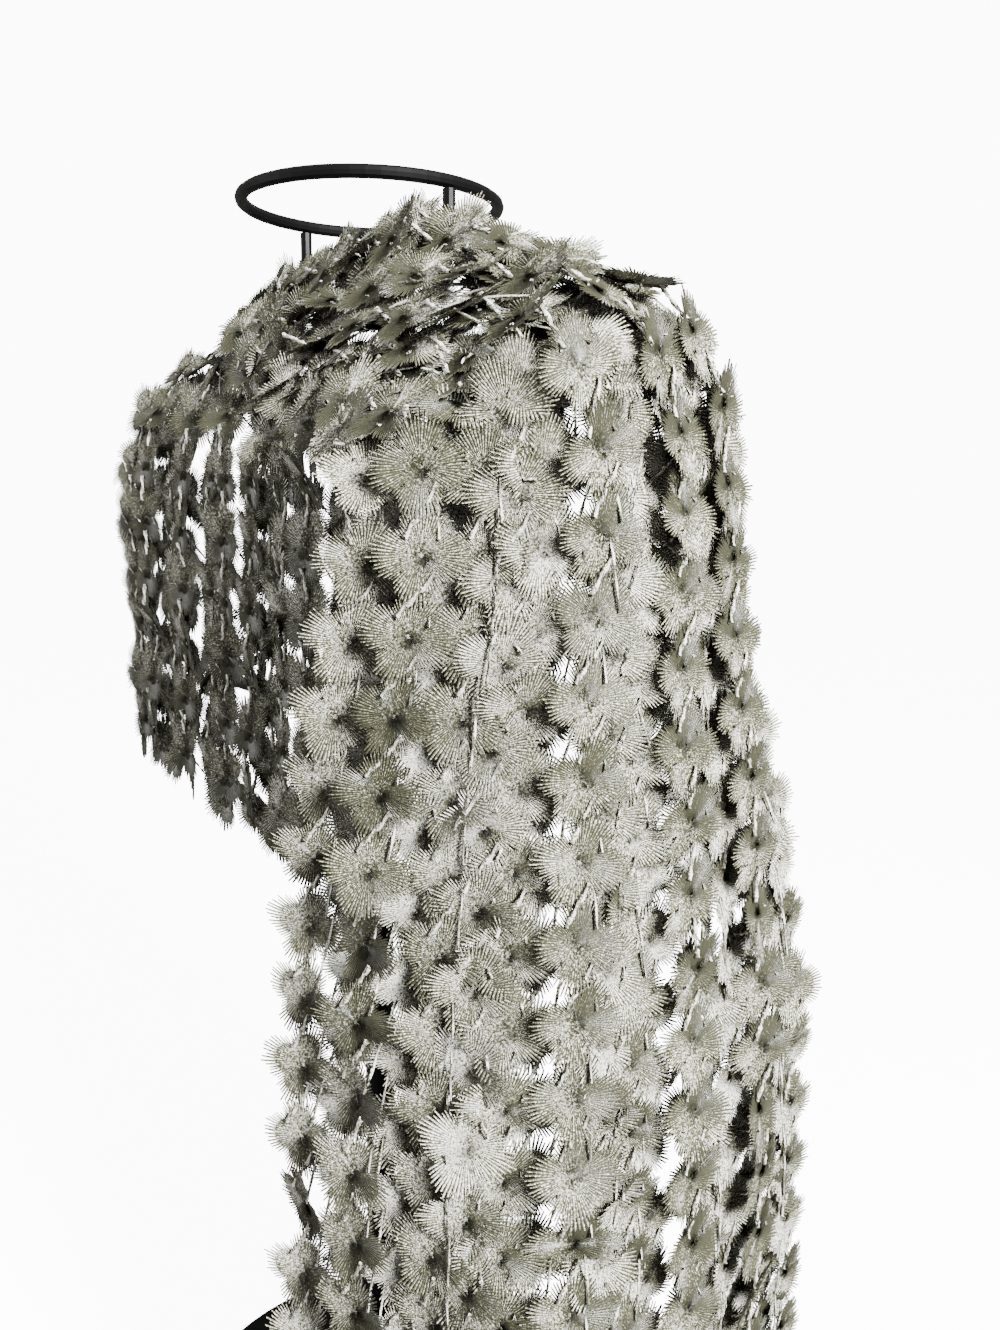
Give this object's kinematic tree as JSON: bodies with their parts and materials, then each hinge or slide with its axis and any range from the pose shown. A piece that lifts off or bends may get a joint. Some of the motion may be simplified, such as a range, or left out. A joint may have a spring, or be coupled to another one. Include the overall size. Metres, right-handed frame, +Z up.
{
  "type": "lace shawl on a wire dress form",
  "caption": "Ivory flower lace shawl thrown over a shoulder of a black wire dress form, with a short end and a long folded end hanging.",
  "frame": {"origin": "on the floor under the middle of the whole part", "axes": "+Z up, +X towards the shoulder that the long end falls over, -Y towards the face that the short end hangs on"},
  "size_m": [0.391, 0.25, 0.7029],
  "materials": {
    "lace": "ivory embroidery thread with a silvery sheen",
    "wire": "satin black"
  },
  "bodies": {
    "root": {"short_end": "lace", "shoulder_stretch": "lace", "long_end": "lace", "neck_ring": "wire", "near_shoulder_wire": "wire", "far_shoulder_wire": "wire", "near_armhole": "wire", "far_armhole": "wire", "spine_bar": "wire", "stand_pole": "wire", "stand_base": "wire"}
  },
  "joints": []
}
